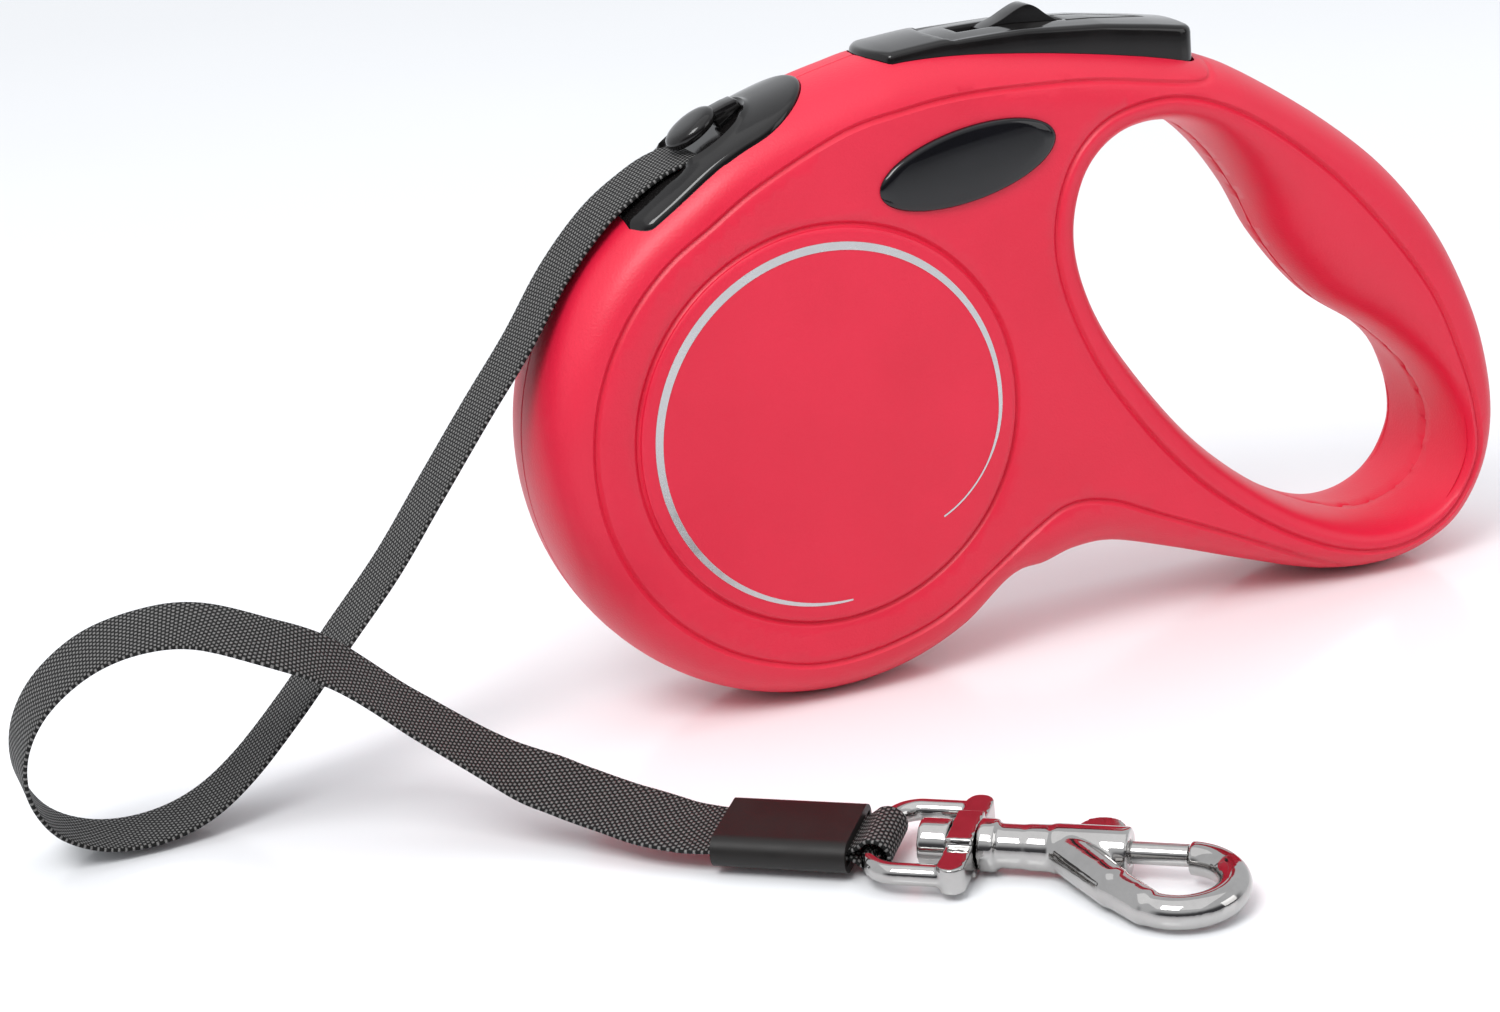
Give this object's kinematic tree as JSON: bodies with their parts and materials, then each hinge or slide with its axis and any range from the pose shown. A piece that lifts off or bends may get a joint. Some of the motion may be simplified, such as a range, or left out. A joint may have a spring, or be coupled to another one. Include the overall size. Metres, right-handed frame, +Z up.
{
  "type": "retractable leash",
  "caption": "Hand-held retractable tape leash: flat rounded case with a finger opening, thumb brake with a lock slider, sprung reel, woven tape and a swivel bolt snap.",
  "frame": {"origin": "on the surface the leash stands on, under the middle of its housing", "axes": "+X from the tape's nose to the handle, +Y away from the side the free tape lies on, +Z up"},
  "size_m": [0.2421, 0.1235, 0.0988],
  "materials": {
    "red_plastic": "satin",
    "black_plastic": "gloss",
    "grey_plastic": "matte",
    "tape": "matte",
    "steel": "brushed",
    "chrome": "polished"
  },
  "bodies": {
    "housing": {"left_shell": "red_plastic", "right_shell": "red_plastic", "left_cover": "red_plastic", "right_cover": "red_plastic", "left_badge": "black_plastic", "right_badge": "black_plastic", "tape_guide": "black_plastic", "guide_finger": "black_plastic", "reel_axle": "steel", "power_spring": "steel", "housing_screws": "steel", "button_pin": "steel", "button_spring": "steel", "pawl_pin": "steel", "tape_free": "tape", "tape_end_loop": "tape", "tape_sleeve": "black_plastic"},
    "reel": {"reel_drum": "grey_plastic", "reel_ratchet": "grey_plastic", "reel_far_flange": "grey_plastic", "spring_lid": "grey_plastic", "tape_winding": "tape"},
    "brake": {"brake_button": "black_plastic"},
    "lock": {"lock_slider": "black_plastic", "lock_clip": "steel"},
    "pawl": {"brake_pawl": "steel"},
    "eye": {"swivel_eye": "chrome"},
    "hook": {"snap_body": "chrome", "bolt_spring": "steel"},
    "bolt": {"snap_bolt": "chrome"}
  },
  "joints": [
    {"name": "reel_spin", "type": "hinge", "parent": "housing", "child": "reel", "pos_m": [-0.0375, 0, 0.0434], "axis": [0, 1, 0], "continuous": true},
    {"name": "brake_press", "type": "hinge", "parent": "housing", "child": "brake", "pos_m": [-0.0175, 0, 0.0906], "axis": [0, 1, 0], "range_deg": [0, 3], "stiffness_Nm_per_rad": 1.5, "springref_deg": -2.86, "deforming": ["button_spring"]},
    {"name": "lock_slide", "type": "slide", "parent": "brake", "child": "lock", "axis": [-1, 0, 0], "range_m": [0, 0.0035]},
    {"name": "pawl_pivot", "type": "hinge", "parent": "housing", "child": "pawl", "pos_m": [-0.0045, 0, 0.0835], "axis": [0, 1, 0], "range_deg": [-6.75, 0]},
    {"name": "eye_pivot", "type": "hinge", "parent": "housing", "child": "eye", "pos_m": [-0.0572, -0.06825, 0.0038], "axis": [-0.6269, -0.7742, -0.0872], "range_deg": [0, 95]},
    {"name": "hook_swivel", "type": "hinge", "parent": "eye", "child": "hook", "pos_m": [-0.05099, -0.07328, 0.0038], "axis": [0.7771, -0.6293, 0], "continuous": true},
    {"name": "bolt_slide", "type": "slide", "parent": "hook", "child": "bolt", "axis": [-0.7771, 0.6293, 0], "range_m": [0, 0.0055], "stiffness_N_per_m": 150, "springref_m": -0.004, "deforming": ["bolt_spring"]}
  ],
  "couplings": [
    {"joint": "pawl_pivot", "follows": "brake_press", "ratio": -2.25}
  ]
}
